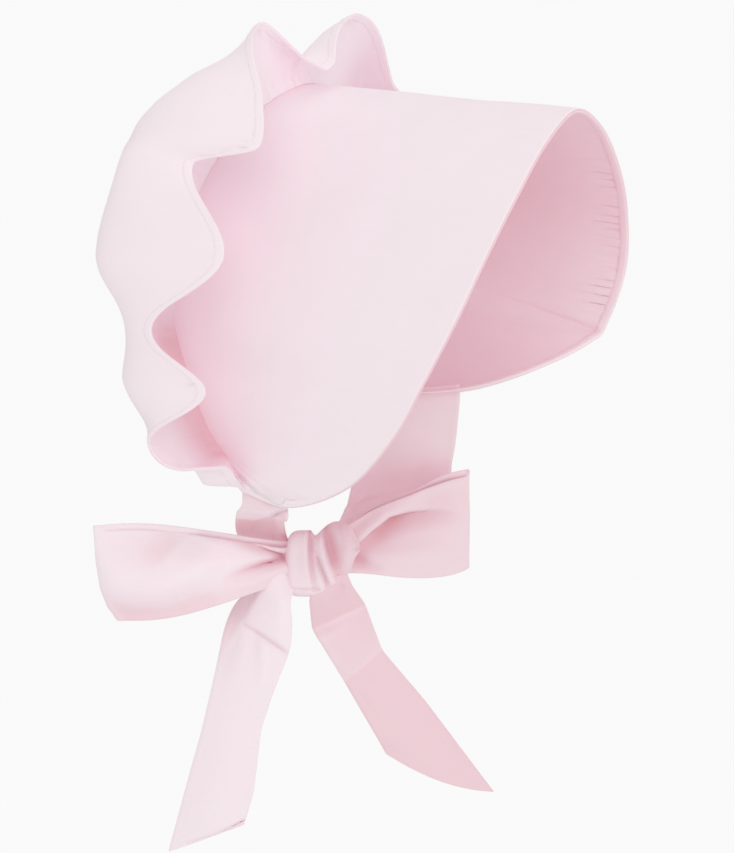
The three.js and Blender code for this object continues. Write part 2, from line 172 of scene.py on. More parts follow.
# Ruffle, a row for each fold from the right end over the top to the left end.
FoldRow = namedtuple("FoldRow", "at belly_out belly_fwd hem_out hem_fwd hem_along")
RUFFLE_FOLDS = [
    FoldRow(-1.0, 2, 3, 4, 7, 4),
    FoldRow(-0.965, 16, -4, 10, 9, -1),
    FoldRow(-0.925, 19, -4, 18, 11, -8),
    FoldRow(-0.87, 20, -3, 32, 1, -8),
    FoldRow(-0.785, 26, -5, 42, -2, -8),
    FoldRow(-0.645, 37, -6, 38, 34, -5),
    FoldRow(-0.565, 27, -5, 39, 14, -5),
    FoldRow(-0.45, 44, -11, 40, 49, -6),
    FoldRow(-0.31, 46, -12, 40, 20, 1),
    FoldRow(-0.262, 49, -8, 38, 46, 6),
    FoldRow(-0.19, 43, -3, 38, 36, 10),
    FoldRow(-0.12, 28, 0, 41, 13, 6),
    FoldRow(-0.085, 22, 0, 35.5, 4, 0),
    FoldRow(-0.048, 15, 2, 12, 13, -2),
    FoldRow(-0.025, 11, 4, 6.9, 17.5, -3),
    FoldRow(0.0, 12, 3, 9, 17.5, -1),
    FoldRow(0.02, 14, 2, 18, 15, 0),
    FoldRow(0.055, 18, 2, 26, 12.4, 0),
    FoldRow(0.09, 20, 3, 31.8, 12.6, 0),
    FoldRow(0.125, 21, 3, 33, 14, 0),
    FoldRow(0.25, 28, -4, 31, 16, 0),
    FoldRow(0.36, 40, -8, 40, 40, 4),
    FoldRow(0.45, 28, -4, 42, 6, 0),
    FoldRow(0.57, 42, -10, 40, 40, -4),
    FoldRow(0.68, 26, -4, 42, 2, 0),
    FoldRow(0.79, 30, -6, 34, 26, -3),
    FoldRow(0.89, 18, -3, 30, -2, -3),
    FoldRow(1.0, 7, -3, 14, -4, 2),
]
CRESTS = (-0.925, -0.645, -0.45, -0.262, -0.085, 0.09, 0.36, 0.57, 0.79)
RUFFLE_CLEAR_SIDE = 1.1
RUFFLE_CLEAR_END = 2.6

# Bow, in its own frame at the knot: across to the right of the picture, out towards the viewer, up.
KNOT_PLACE = (-10, 33, SEAT_DROP - 207)
KNOT_TURN = -60
KNOT_PIXEL = (322, 559)
KNOT_DEPTH = 11.5
KNOT_SQUARE_LEFT = 12
KNOT_SQUARE_RIGHT = 4
KNOT_TUCK = 1.6
SEAT_BEHIND = 2
SEAT_ABOVE = 2.5

# Edges of the ties in the picture, with how far out each lies, the curl between them and the sag.
Rail = namedtuple("Rail", "left right left_out right_out curl sag")
TAIL_RIGHT = [
    Rail((293, 563), (293, 589), 5, 6, 0, 0),
    Rail((269, 577), (289, 603), 12, 12, 2, 0),
    Rail((235, 602), (292, 622), 3, 12, 2, 0),
    Rail((224, 627), (290, 651), 6, 11, 3, 0),
    Rail((213, 680), (274, 690), 9, 10, 2.5, 0),
    Rail((201, 731), (260, 732), 8, 8, 2.5, 0),
    Rail((186, 785), (253, 794), 8, 7, 2.5, 0),
    Rail((167, 855), (243, 828), 8, 6, 2.5, 0),
]
TAIL_LEFT = [
    Rail((316, 583), (346, 573), 5, 2, 2, 0),
    Rail((309, 600), (352, 587), 6, 1, 2, 0),
    Rail((312, 631), (365, 606), -2, -9, 2, 0),
    Rail((345, 684), (382, 652), 12, 3, 2, 0),
    Rail((372, 731), (425, 703), 5, -7, 2, 0),
    Rail((386, 756), (495, 796), 0, -13, 2, 3.5),
]
Strap = namedtuple("Strap", "start stop lead rails")
STRAP_RIGHT = Strap(
    -1.0,
    -0.895,
    6,
    [
        Rail((236, 515), (283, 514), 24, 30, 0, 0),
        Rail((241, 541), (288, 541), -9, -9, 0, 0),
        Rail((290, 556), (306, 546), -6, -4, 0, 0),
    ],
)
STRAP_LEFT = Strap(
    0.92,
    0.79,
    6,
    [
        Rail((350, 494), (454, 458), -36, -50, 0, 0),
        Rail((344, 512), (440, 492), -22, -48, 0, 0),
        Rail((336, 529), (356, 542), -5, -12, 0, 0),
    ],
)
Loop = namedtuple("Loop", "side reach heading wide neck puff rise")
LOOP_RIGHT = Loop(-1, 97, 18, 42, 14, 10, -1)
LOOP_LEFT = Loop(1, 78, -36, 42, 15, 10, 7)
KnotRow = namedtuple("KnotRow", "x top foot")
KNOT_OUTLINE = [
    KnotRow(284, 541, 590),
    KnotRow(288, 534, 597),
    KnotRow(300, 531, 598),
    KnotRow(310, 531, 598),
    KnotRow(315, 536, 598),
    KnotRow(321, 531, 597),
    KnotRow(328, 525, 593),
    KnotRow(335, 522, 587),
    KnotRow(343, 521, 582),
    KnotRow(351, 523, 576),
    KnotRow(360, 535, 562),
]

# Creases as lines of pixels with heights in millimetres. Widths are pixels on the left and right of the line.
Crease = namedtuple("Crease", "line before after")
# The creases are also painted darker, as painted shade at its fullest where a crease lies CREASE_FULL
# millimetres deep.
CREASE_FULL = 7
CREASE_SHADE = 1.8
FLAP_STEP = 2.2
FLAP_FOOT = ((242, 621), (288, 652))
FLAP_SIDE = ((243, 621), (262, 586))
TAIL_FOLD_HIGH = ((312, 631), (365, 606))
TAIL_FOLD_LOW = ((345, 684), (382, 652))
TAIL_RIGHT_CREASES = [
    Crease([(257, 633, -0.8), (270, 642, -0.5), (287, 655, -1.0)], 2, 5),
    Crease([(262, 645, 1.0), (263, 665, 0.8), (258, 700, 0)], 4, 5),
    Crease([(244, 630, 0.9), (240, 655, 0.7), (232, 690, 0)], 7, 7),
    Crease([(185, 847, -0.6), (215, 838, -1.4), (243, 824, -2.4)], 2, 3),
]
TAIL_LEFT_CREASES = [
    Crease([(316, 640, 1.0), (336, 632, 0.5), (352, 622, 0)], 4, 6),
    Crease([(330, 612, 0), (336, 600, -1.5), (340, 588, -2)], 5, 5),
    Crease([(352, 683, 0.6), (372, 700, 0.8), (400, 735, 0)], 5, 6),
]
STRAP_RIGHT_CREASES = [
    Crease([(236, 514, 1.5), (256, 514, 2.0), (278, 509, 0.5)], 6, 4),
    Crease([(236, 520, -5), (254, 522, -6), (270, 518, -5), (288, 510, -3)], 2, 9),
    Crease([(277, 520, 2), (281, 535, 2.5), (287, 548, 2)], 4, 4),
]
STRAP_LEFT_CREASES = [
    Crease([(347, 506, 2), (358, 500, 1.5), (364, 490, 0)], 3, 7),
    Crease([(352, 512, -2), (362, 504, -2), (368, 494, 0)], 4, 5),
]
LOOP_RIGHT_CREASES = [
    Crease([(185, 530, -0.5), (208, 535, -2.5), (232, 541, -3.5), (262, 549, -4), (288, 558, -4)], 2, 5),
    Crease([(224, 581, -0.5), (244, 573, -3), (263, 567, -5), (287, 561, -5)], 6, 3),
    Crease([(230, 588, 1), (255, 580, 3), (282, 570, 2)], 5, 9),
    Crease([(192, 533, -0.8), (172, 540, -1.7), (158, 558, -1.8), (138, 575, -0.8)], 8, 24),
    Crease([(210, 546, 3), (195, 570, 4), (160, 590, 3), (118, 588, 1.5)], 16, 16),
    Crease([(106, 604, -1), (130, 615, -2.2), (160, 615, -2.2), (205, 604, -1.5)], 12, 14),
]
LOOP_LEFT_CREASES = [
    Crease(
        [(356, 548, -5), (372, 533, -8), (390, 519, -8.5), (408, 514, -5), (440, 512, -2), (464, 515, 0)],
        1.8,
        15,
    ),
    Crease([(362, 535, 3), (385, 513, 4), (412, 500, 2.5)], 9, 9),
    Crease([(376, 558, 2), (405, 556, 4), (440, 552, 3)], 13, 15),
    Crease([(354, 562, -4), (374, 569, -2)], 7, 7),
]
KNOT_CREASES = [
    Crease([(309, 529, -4.5), (310, 552, -4), (311, 571, -3), (314, 592, -1.5)], 4, 2.5),
    Crease([(297, 533, 0), (298, 560, -1), (299, 590, 0)], 6, 6),
    Crease([(287, 590, -1.2), (302, 591, -1.4), (318, 591, -1.2)], 1.6, 2.5),
    Crease([(315, 552, -1), (318, 560, -3), (324, 576, -3.2), (330, 594, -3.5)], 2, 3),
    Crease([(319, 538, 2), (322, 556, 2), (327, 574, 1.8), (334, 584, 0.8)], 3, 3),
    Crease([(325, 528, -4.5), (328, 546, -6.5), (332, 562, -6.5), (337, 578, -4)], 10, 4),
    Crease([(340, 530, 1.5), (348, 548, 2), (342, 570, 1.5)], 8, 8),
]


def lerp(a, b, t):
    return a + (b - a) * t


def smooth(x, low, high):
    t = np.clip((x - low) / (high - low), 0, 1)
    return t * t * (3 - 2 * t)


def bell(x, middle, width):
    return np.exp(-(((x - middle) / width) ** 2))


def wander(x, pitch, seed):
    """Smooth uneven wave along x, from -1 to 1, with a turn about every pitch."""
    marks = np.random.default_rng(seed).uniform(-1, 1, NOISE_MARKS)
    place = x / pitch + 1000
    i = np.floor(place).astype(int)
    t = place - i
    return lerp(marks[i % NOISE_MARKS], marks[(i + 1) % NOISE_MARKS], t * t * (3 - 2 * t))


def drift(x, y, pitch, seed):
    """Smooth uneven field over x and y, from -1 to 1, with features about pitch across."""
    marks = np.random.default_rng(seed).uniform(-1, 1, (FIELD_MARKS, FIELD_MARKS))
    px = x / pitch + 50
    py = y / pitch + 50
    i = np.floor(px).astype(int)
    j = np.floor(py).astype(int)
    tx = smooth(px - i, 0, 1)
    ty = smooth(py - j, 0, 1)
    left = i % FIELD_MARKS
    right = (i + 1) % FIELD_MARKS
    low = j % FIELD_MARKS
    high = (j + 1) % FIELD_MARKS
    near = lerp(marks[left, low], marks[right, low], tx)
    far = lerp(marks[left, high], marks[right, high], tx)
    return lerp(near, far, ty)


def spline(points, t):
    """Smooth curve through points at shares t, with an even share for each span."""
    points = np.asarray(points, float)
    ends = np.vstack([2 * points[0] - points[1], points, 2 * points[-1] - points[-2]])
    place = np.clip(t, 0, 1) * (len(points) - 1)
    i = np.minimum(place.astype(int), len(points) - 2)
    w = (place - i)[..., None]
    before, a, b, after = (ends[i + k] for k in range(4))
    start = (b - before) / 2
    stop = (after - a) / 2
    blend_a = 2 * w**3 - 3 * w**2 + 1
    return blend_a * a + (w**3 - 2 * w**2 + w) * start + (1 - blend_a) * b + (w**3 - w**2) * stop


def column(places, values, at):
    """Smooth value between table rows, level at each crest and trough."""
    places = np.asarray(places, float)
    values = np.asarray(values, float)
    rise = np.diff(values) / np.diff(places)
    slopes = np.zeros(len(values))
    same = rise[:-1] * rise[1:] > 0
    total = np.where(same, rise[:-1] + rise[1:], 1)
    slopes[1:-1] = np.where(same, 2 * rise[:-1] * rise[1:] / total, 0)
    i = np.clip(np.searchsorted(places, at, side="right") - 1, 0, len(places) - 2)
    span = places[i + 1] - places[i]
    t = (at - places[i]) / span
    blend = 2 * t**3 - 3 * t**2 + 1
    bend = (t**3 - 2 * t**2 + t) * slopes[i] + (t**3 - t**2) * slopes[i + 1]
    return blend * values[i] + (1 - blend) * values[i + 1] + bend * span


# Brim surface
def mirrored(half, fwd, drop):
    left = [(getattr(r, half), -getattr(r, fwd), SEAT_DROP - getattr(r, drop)) for r in BRIM_STATIONS]
    right = [(-x, y, z) for x, y, z in left[:0:-1]]
    return right + left


FRONT_EDGE = mirrored("half", "fwd", "drop")
SEAM_EDGE = mirrored("seam_half", "seam_fwd", "seam_drop")


def brim_flat(at, deep):
    share = (at + 1) / 2
    point = lerp(spline(FRONT_EDGE, share), spline(SEAM_EDGE, share), deep[..., None])
    point[..., 0] += BRIM_BELLY * np.sin(np.pi * deep) * np.sign(at) * smooth(np.abs(at), 0, 0.4)
    point[..., 2] -= NEAR_DROP * smooth(-at, 0.7, 0.9) * (1 - deep) ** 2
    return point


def brim_point(at, deep):
    flat = brim_flat(at, deep)
    side = np.where(at < 0, -1.0, 1.0)
    fold_front = np.where(side > 0, FOLD_LEFT.front, FOLD_RIGHT.front)
    fold_seam = np.where(side > 0, FOLD_LEFT.seam, FOLD_RIGHT.seam)
    half_round = lerp(CREASE_ROUND_FRONT, CREASE_ROUND_SEAM, deep) / 2
    ease = smooth(np.abs(at), CREASE_AT - half_round, CREASE_AT + half_round)
    angle = side * np.radians(lerp(fold_front, fold_seam, deep)) * ease
    crease = brim_flat(side * CREASE_AT, deep)
    hang = flat - crease
    turned = hang.copy()
    turned[..., 0] = hang[..., 0] * np.cos(angle) + hang[..., 2] * np.sin(angle)
    turned[..., 2] = hang[..., 2] * np.cos(angle) - hang[..., 0] * np.sin(angle)
    return crease + turned


def seam_frame(at):
    """Directions on the seam: out from the brim, and along towards the lower end of that side."""
    ones = np.ones_like(at)
    run = brim_point(np.minimum(at + 0.01, 1), ones) - brim_point(np.maximum(at - 0.01, -1), ones)
    run[..., 1] = 0
    run /= np.linalg.norm(run, axis=-1, keepdims=True)
    out = np.stack([-run[..., 2], np.zeros_like(at), run[..., 0]], axis=-1)
    along = run * (np.where(at < 0, -1, 1) * smooth(np.abs(at), 0, 0.06))[..., None]
    return out, along


def ruffle_point(at, wide):
    out, along = seam_frame(at)
    clear = lerp(RUFFLE_CLEAR_SIDE, RUFFLE_CLEAR_END, smooth(np.abs(at), 0.88, 1))
    sewn = BRIM_CLOTH / 2
    stand = lerp(sewn, 1.1 + clear, smooth(wide, 0.02, 0.2))
    point = brim_point(at, np.ones_like(at)) + out * stand[..., None]
    point[..., 1] -= 1.5 * (1 - smooth(wide, 0.0, 0.1))
    places = [row.at for row in RUFFLE_FOLDS]

    def value(name):
        return column(places, [getattr(row, name) for row in RUFFLE_FOLDS], at)

    def bend(belly, hem):
        control = 2 * belly - hem / 2
        return (2 * wide * (1 - wide) * control + wide * wide * hem)[..., None]

    hem_along = value("hem_along")
    point = point + out * bend(value("belly_out"), value("hem_out"))
    point = point + along * bend(0.6 * hem_along, hem_along)
    point[..., 1] -= bend(value("belly_fwd"), value("hem_fwd"))[..., 0]
    return point


def bow_point(across, out, up):
    turn = math.radians(KNOT_TURN)
    x = across * math.cos(turn) + out * math.sin(turn)
    y = across * math.sin(turn) - out * math.cos(turn)
    return np.stack([x + KNOT_PLACE[0], y + KNOT_PLACE[1], up + KNOT_PLACE[2]], axis=-1)


def bow_place(point):
    """The bow frame's across, out and up of a point."""
    turn = math.radians(KNOT_TURN)
    x, y, z = np.asarray(point) - np.array(KNOT_PLACE)
    across = x * math.cos(turn) + y * math.sin(turn)
    out = x * math.sin(turn) - y * math.cos(turn)
    return np.array([across, out, z])


# Mesh making
def grid_normals(mid):
    down = np.gradient(mid, axis=0)
    over = np.gradient(mid, axis=1)
    normal = np.cross(down, over)
    return normal / np.maximum(np.linalg.norm(normal, axis=-1, keepdims=True), 1e-9)


def border_of(rows, columns):
    ring = [(i, 0) for i in range(rows)]
    ring += [(rows - 1, j) for j in range(1, columns)]
    ring += [(i, columns - 1) for i in range(rows - 2, -1, -1)]
    ring += [(0, j) for j in range(columns - 2, 0, -1)]
    return ring


def mesh_object(name, points, faces, uv, painted_shade, material, crisp=()):
    """A smooth mesh. crisp: the rings of points along which it has a sharp edge."""
    mesh = bpy.data.meshes.new(name)
    mesh.from_pydata((np.asarray(points) * MM).tolist(), [], faces)
    mesh.polygons.foreach_set("use_smooth", [True] * len(mesh.polygons))
    pairs = {frozenset(pair) for ring in crisp for pair in zip(ring, ring[1:] + ring[:1])}
    sharp = mesh.attributes.new("sharp_edge", "BOOLEAN", "EDGE")
    sharp.data.foreach_set("value", [frozenset(edge.vertices) in pairs for edge in mesh.edges])
    corners = np.zeros(len(mesh.loops), int)
    mesh.loops.foreach_get("vertex_index", corners)
    layer = mesh.uv_layers.new(name="cloth")
    layer.data.foreach_set("uv", (np.asarray(uv)[corners] * MM).ravel())
    # Painted shade, stored on each point.
    shade = mesh.attributes.new("painted_shade", "FLOAT", "POINT")
    shade.data.foreach_set("value", np.asarray(painted_shade, float))
    mesh.materials.append(material)
    mesh.update()
    piece = bpy.data.objects.new(name, mesh)
    bpy.context.scene.collection.objects.link(piece)
    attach(piece, BODY)
    return piece


def cloth_object(name, mid, thick, painted_shades, material):
    """A closed sheet about a grid of points. tones: the painted shade on top, underneath and at the rim."""
    rows, columns = mid.shape[:2]
    normal = grid_normals(mid)
    half = (thick / 2)[..., None]
    ring = border_of(rows, columns)
    rim = []
    for i, j in ring:
        inner = mid[np.clip(i, 1, rows - 2), np.clip(j, 1, columns - 2)]
        way = mid[i, j] - inner
        way = way - normal[i, j] * np.dot(way, normal[i, j])
        rim.append(mid[i, j] + way / max(np.linalg.norm(way), 1e-9) * thick[i, j] * RIM_NOSE)
    points = np.vstack([(mid + normal * half).reshape(-1, 3), (mid - normal * half).reshape(-1, 3), rim])
    layer = rows * columns
    faces = []
    for i in range(rows - 1):
        for j in range(columns - 1):
            a = i * columns + j
            b = a + columns
            c = b + 1
            d = a + 1
            faces.append((a, b, c, d))
            faces.append((layer + a, layer + d, layer + c, layer + b))
    count = len(ring)
    for k in range(count):
        n = (k + 1) % count
        a = ring[k][0] * columns + ring[k][1]
        b = ring[n][0] * columns + ring[n][1]
        rim_a = 2 * layer + k
        rim_b = 2 * layer + n
        faces.append((a, rim_a, rim_b, b))
        faces.append((layer + a, layer + b, rim_b, rim_a))
    step_down = np.linalg.norm(np.diff(mid, axis=0), axis=-1).mean(axis=1)
    step_over = np.linalg.norm(np.diff(mid, axis=1), axis=-1).mean(axis=0)
    down = np.concatenate([[0], np.cumsum(step_down)])
    over = np.concatenate([[0], np.cumsum(step_over)])
    flat = np.stack(np.meshgrid(down, over, indexing="ij"), axis=-1).reshape(-1, 2)
    edge = np.array([flat[i * columns + j] for i, j in ring])
    upper, under, rim_painted_shade = (np.broadcast_to(t, (rows, columns)).reshape(-1) for t in painted_shades)
    painted_shade = np.concatenate([upper, under, [rim_painted_shade[i * columns + j] for i, j in ring]])
    upper_ring = [i * columns + j for i, j in ring]
    crisp = (upper_ring, [layer + k for k in upper_ring])
    return mesh_object(name, points, faces, np.vstack([flat, flat, edge]), painted_shade, material, crisp)


def stitch_object(name, lines, material):
    """Short raised threads along lines of points, each with the directions out of the cloth."""
    points = []
    faces = []
    sides = STITCH_SIDES
    profile = [(-0.5, 0.25, -0.5), (-0.34, 0.95, 0.25), (0, 1, 0.45), (0.34, 0.95, 0.25), (0.5, 0.25, -0.5)]
    for line, outward in lines:
        steps = np.linalg.norm(np.diff(line, axis=0), axis=-1)
        run = np.concatenate([[0], np.cumsum(steps)])
        for middle in np.arange(STITCH_PITCH, run[-1] - STITCH_PITCH, STITCH_PITCH):
            start = len(points)
            centre = np.array([np.interp(middle, run, line[:, k]) for k in range(3)])
            ahead = np.array([np.interp(middle + 0.6, run, line[:, k]) for k in range(3)])
            way = (ahead - centre) / max(np.linalg.norm(ahead - centre), 1e-9)
            lift = np.array([np.interp(middle, run, outward[:, k]) for k in range(3)])
            lift = lift / np.linalg.norm(lift)
            side = np.cross(way, lift)
            for along, girth, height in profile:
                core = centre + way * along * STITCH_LENGTH + lift * height * STITCH_RADIUS
                for s in range(sides):
                    turn = 2 * math.pi * s / sides
                    reach = STITCH_RADIUS * girth
                    points.append(core + (side * math.cos(turn) + lift * math.sin(turn)) * reach)
            for ring in range(len(profile) - 1):
                for s in range(sides):
                    a = start + ring * sides + s
                    b = start + ring * sides + (s + 1) % sides
                    faces.append((a, b, b + sides, a + sides))
            faces.append(tuple(start + s for s in range(sides - 1, -1, -1)))
            last = start + (len(profile) - 1) * sides
            faces.append(tuple(last + s for s in range(sides)))
    uv = np.zeros((len(points), 2))
    return mesh_object(name, np.array(points), faces, uv, np.zeros(len(points)), material)


def edge_first(hem, lengths, rest):
    """Distances from an edge over cloth of those lengths, close together through the hem."""
    lengths = np.asarray(lengths, float)[:, None]
    squeeze = np.minimum(1, 0.5 * lengths / (HEM_MARKS[-1] * hem))
    fine = HEM_MARKS[None, :] * hem * squeeze
    shares = np.linspace(0, 1, rest + 1)[None, 1:]
    return np.concatenate([fine, lerp(fine[:, -1:], lengths, shares)], axis=1)


def hem_thickness(distance, hem, cloth, pinch):
    """Turned hem: fuller than the cloth, pinched along its stitch line, round at the edge."""
    band = lerp(cloth * HEM_FULLNESS, cloth, smooth(distance, hem, hem + 0.7))
    band = band - cloth * pinch * bell(distance, hem, 0.45)
    nose = np.sqrt(np.clip(1 - (1 - np.clip(distance / 0.5, 0, 1)) ** 2, 0.4, 1))
    return band * nose


# Materials
def link(tree, out_node, out_name, in_node, in_name):
    tree.links.new(out_node.outputs[out_name], in_node.inputs[in_name])


def cotton(name, pale, deep, shade):
    """Plain-weave cotton. Its tone attribute is painted shade: it turns pale to deep from 0 to 1, and deep to
    shade to 2.
    """
    material = bpy.data.materials.new(name)
    material.use_nodes = True
    tree = material.node_tree
    shader = tree.nodes["Principled BSDF"]
    shader.inputs["Roughness"].default_value = COTTON_ROUGHNESS
    shader.inputs["Specular IOR Level"].default_value = 0
    coords = tree.nodes.new("ShaderNodeTexCoord")

    def stretched(scale_x, scale_y, detail):
        place = tree.nodes.new("ShaderNodeMapping")
        place.inputs["Scale"].default_value = (scale_x, scale_y, 1)
        link(tree, coords, "UV", place, "Vector")
        noise = tree.nodes.new("ShaderNodeTexNoise")
        noise.inputs["Scale"].default_value = 1
        noise.inputs["Detail"].default_value = detail
        link(tree, place, "Vector", noise, "Vector")
        return noise.outputs["Fac"]

    def math_node(kind, a, b):
        node = tree.nodes.new("ShaderNodeMath")
        node.operation = kind
        for socket, value in zip(node.inputs, (a, b)):
            if isinstance(value, (int, float)):
                socket.default_value = value
            else:
                tree.links.new(value, socket)
        return node.outputs["Value"]

    def thread_wave(direction):
        wave = tree.nodes.new("ShaderNodeTexWave")
        wave.wave_type = "BANDS"
        wave.bands_direction = direction
        wave.inputs["Scale"].default_value = WEAVE_SCALE
        wave.inputs["Distortion"].default_value = 0.6
        link(tree, coords, "UV", wave, "Vector")
        return wave.outputs["Fac"]

    # Painted shade: the attribute mixes pale towards deep, then deep towards shade, in place of shadow.
    painted_shade = tree.nodes.new("ShaderNodeAttribute")
    painted_shade.attribute_name = "painted_shade"
    mix = tree.nodes.new("ShaderNodeMix")
    mix.data_type = "RGBA"
    mix.inputs["A"].default_value = (*pale, 1)
    mix.inputs["B"].default_value = (*deep, 1)
    link(tree, painted_shade, "Fac", mix, "Factor")
    darker = tree.nodes.new("ShaderNodeMix")
    darker.data_type = "RGBA"
    darker.inputs["B"].default_value = (*shade, 1)
    link(tree, mix, "Result", darker, "A")
    tree.links.new(math_node("SUBTRACT", painted_shade.outputs["Fac"], 1), darker.inputs["Factor"])

    threads = math_node("ADD", stretched(60, 2600, 2), stretched(2600, 60, 2))
    cloud = stretched(45, 45, 3)
    variation = math_node("ADD", math_node("MULTIPLY", threads, 0.02), math_node("MULTIPLY", cloud, 0.03))
    tint = tree.nodes.new("ShaderNodeMix")
    tint.data_type = "RGBA"
    tint.blend_type = "MULTIPLY"
    tint.inputs["Factor"].default_value = 1
    link(tree, darker, "Result", tint, "A")
    tree.links.new(math_node("ADD", variation, 0.965), tint.inputs["B"])
    link(tree, tint, "Result", shader, "Base Color")

    weave = math_node("MULTIPLY", thread_wave("X"), thread_wave("Y"))
    height = math_node("ADD", math_node("MULTIPLY", weave, 0.5), threads)
    crumple = stretched(160, 160, 4)
    height = math_node("ADD", height, math_node("MULTIPLY", crumple, 1.2))
    bump = tree.nodes.new("ShaderNodeBump")
    bump.inputs["Strength"].default_value = WEAVE_BUMP
    bump.inputs["Distance"].default_value = WEAVE_DEPTH
    tree.links.new(height, bump.inputs["Height"])
    link(tree, bump, "Normal", shader, "Normal")
    return material


def plain(name, colour, roughness):
    material = bpy.data.materials.new(name)
    material.use_nodes = True
    shader = material.node_tree.nodes["Principled BSDF"]
    shader.inputs["Base Color"].default_value = (*colour, 1)
    shader.inputs["Roughness"].default_value = roughness
    return material


cloth = cotton("pink cotton", PALE, HALF_SHADE, SHADE)
# The ties' copy of the cotton differs only in its greyer painted-shade colour.
tie_cloth = cotton("pink tie cotton", PALE, TIE_HALF_SHADE, SHADE)
thread = plain("pink thread", THREAD, THREAD_ROUGHNESS)


# Brim
def make_brim():
    at = np.interp(np.linspace(0, 1, BRIM_COLUMNS), [0, 0.35, 0.87, 1], [-1, 0.12, 0.58, 1])
    span = np.linalg.norm(brim_point(at, np.zeros_like(at)) - brim_point(at, np.ones_like(at)), axis=-1)
    distance = edge_first(BRIM_HEM, span, BRIM_ROWS)
    span = span[:, None]
    deep = distance / span
    at = np.broadcast_to(at[:, None], deep.shape)
    mid = brim_point(at, deep)
    along = np.linalg.norm(np.diff(mid[:, 0], axis=0), axis=-1)
    along = np.concatenate([[0], np.cumsum(along)])[:, None]
    normal = grid_normals(mid)

    inside = np.maximum(distance - BRIM_HEM, 0)
    beyond = smooth(distance, BRIM_HEM - 0.3, BRIM_HEM + 1.2)
    far_side = smooth(at, 0.14, 0.24) * (1 - smooth(at, 0.5, 0.56))
    near_foot = smooth(-at, 0.8, 0.9) * (1 - smooth(-at, 0.93, 0.985))
    reach = lerp(6, 20, 0.5 + 0.5 * wander(along, 4.5, 3))
    fade = 1 - smooth(inside / reach, 0.2, 1.2)
    beat = along / PUCKER_PITCH + 0.45 * wander(along, 8, 7)
    valley = bell(beat - np.round(beat), 0, 0.16) * (0.75 + 0.5 * wander(along, 6, 13))
    lift = (far_side * (0.9 * valley + 0.5 * wander(along, 5.5, 11)) - near_foot * valley) * fade * beyond
    lift = lift + (0.12 + 1.8 * near_foot) * wander(along, 2.6, 7) * np.exp(-inside / reach) * beyond
    quiet = smooth(distance, 2, 25) * smooth(1 - deep, 0, 0.15)
    lift = lift + quiet * (0.9 * drift(along, distance, 55, 21) + 0.25 * drift(along, distance, 17, 22))
    line = at - CREASE_AT + CREASE_TILT * deep
    crease = bell(line, 0, 0.006) * (1 - smooth(deep, 0.1, 0.62)) * smooth(distance, 1, 5)
    thick = hem_thickness(distance, BRIM_HEM, BRIM_CLOTH, 0.3)
    lift = lift + 2.0 * crease - np.maximum(thick - BRIM_CLOTH, 0) / 2
    mid = mid + normal * lift[..., None]
    thick = thick * lerp(0.7, 1, smooth((1 - deep) * span, 0, 1.2))
    # Painted shade inside the brim: deeper towards the seam, none on the turned flap, and lighter low on the
    # far side.
    flap = smooth(line, -0.06, 0.03)
    painted_shade_in = lerp(*BRIM_INSIDE_SHADES, smooth(deep, 0.1, 0.6)) * (1 - flap) * (1 - 0.6 * smooth(at, 0.3, 0.5))
    # Painted shadow on the brim's outside, within about 10 mm of the seam, under the ruffle.
    ruffle_shadow = 1 - smooth((1 - deep) * span, 2, 10)
    # The brim's rim is painted darker: a painted shadow line along its doubled edge.
    painted_shades = (UNDER_RUFFLE_SHADOW * ruffle_shadow, painted_shade_in, BRIM_RIM_SHADOW)
    piece = cloth_object("brim_cloth", mid, thick, painted_shades, cloth)
    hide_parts("brim")

    skin = mid - normal * (thick / 2)[..., None]
    stitch_line = (skin[3:-3, STITCH_MARK], -normal[3:-3, STITCH_MARK])
    stitches = stitch_object("brim_stitches", [stitch_line], thread)
    stitches.parent = piece


def make_crown():
    share = np.linspace(0, 1, CROWN_GRID[0])
    over = np.linspace(0, 1, CROWN_GRID[1])
    share, over = np.meshgrid(share, over, indexing="ij")
    at = lerp(CROWN_TOP, CROWN_FOOT, share)
    ones = np.ones_like(at)

    def edge(place):
        out, _ = seam_frame(place)
        return brim_point(place, ones) - out * CROWN_INSET

    mid = lerp(edge(-at), edge(at), over[..., None])
    swell = np.sqrt(np.sin(CROWN_SWEEP * share))
    mid[..., 1] += CROWN_DEPTH * swell * np.sin(over * np.pi) ** 0.8 - CROWN_TUCK
    normal = grid_normals(mid)
    to_side = np.minimum(over, 1 - over) * 2
    gather = np.sin(share * 150 + 2 * wander(share, 0.05, 31)) * np.exp(-to_side / 0.16)
    gather = gather * smooth(share, 0.1, 0.25)
    top = np.sin(over * 90 + 2 * wander(over, 0.05, 33)) * np.exp(-share / 0.1)
    lift = 0.8 * gather + 0.6 * top + 0.7 * drift(share * 150, over * 130, 30, 35)
    calm = smooth(to_side, 0, 0.03) * smooth(share, 0, 0.03)
    mid = mid - normal * (lift * calm)[..., None]
    thick = np.full(at.shape, CROWN_CLOTH)
    # Painted shade on the crown's underside, inside the bonnet, and less on its rim; its outside stays pale.
    piece = cloth_object("crown_cloth", mid, thick, CROWN_SHADES, cloth)
    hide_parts("crown")


